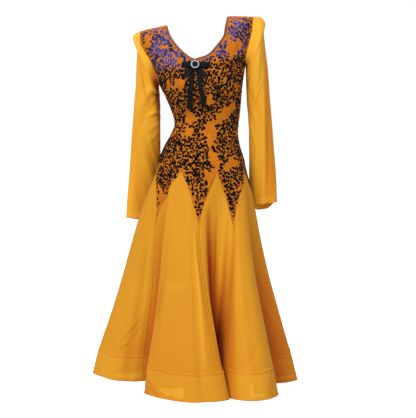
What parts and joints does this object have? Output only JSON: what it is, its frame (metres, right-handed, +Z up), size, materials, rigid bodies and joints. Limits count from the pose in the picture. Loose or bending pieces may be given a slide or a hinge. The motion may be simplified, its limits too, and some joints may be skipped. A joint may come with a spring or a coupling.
{
  "type": "ballroom dance dress",
  "caption": "Ballroom dance dress, filled out with no wearer: flocked leaf bodice with long points, amber sleeves and flared skirt with a stiff hem, ribbon bow with a stone brooch",
  "frame": {"origin": "Between the shoulders, at the middle of the shoulder line, where the wearer holds the dress up", "axes": "X to the viewer's right seen from the front, Y to the back, so the front faces -Y, Z up"},
  "size_m": [0.686, 0.6165, 1.1961],
  "materials": {
    "bodice": "stretch cloth with a flocked leaf pattern",
    "skirt": "matt crepe",
    "sleeves": "matt crepe",
    "binding": "plain",
    "ribbon": "ribbed, soft sheen",
    "clear_stones": "cut and polished",
    "black_stone": "polished"
  },
  "bodies": {
    "root": {"bodice_back": "bodice", "bodice_front": "bodice", "bow_knot": "ribbon", "bow_loop_left": "ribbon", "bow_loop_right": "ribbon", "bow_tail_left": "ribbon", "bow_tail_right": "ribbon", "bow_wing_left": "ribbon", "bow_wing_right": "ribbon", "brooch_centre": "black_stone", "brooch_rim": "clear_stones", "godet_back_left": "skirt", "godet_back_right": "skirt", "godet_front_left": "skirt", "godet_front_right": "skirt", "godet_side_left": "skirt", "godet_side_right": "skirt", "hem_back_left": "skirt", "hem_back_right": "skirt", "hem_front_left": "skirt", "hem_front_right": "skirt", "hem_side_left": "skirt", "hem_side_right": "skirt", "neck_binding": "binding", "sleeve_left": "sleeves", "sleeve_right": "sleeves"}
  },
  "joints": []
}
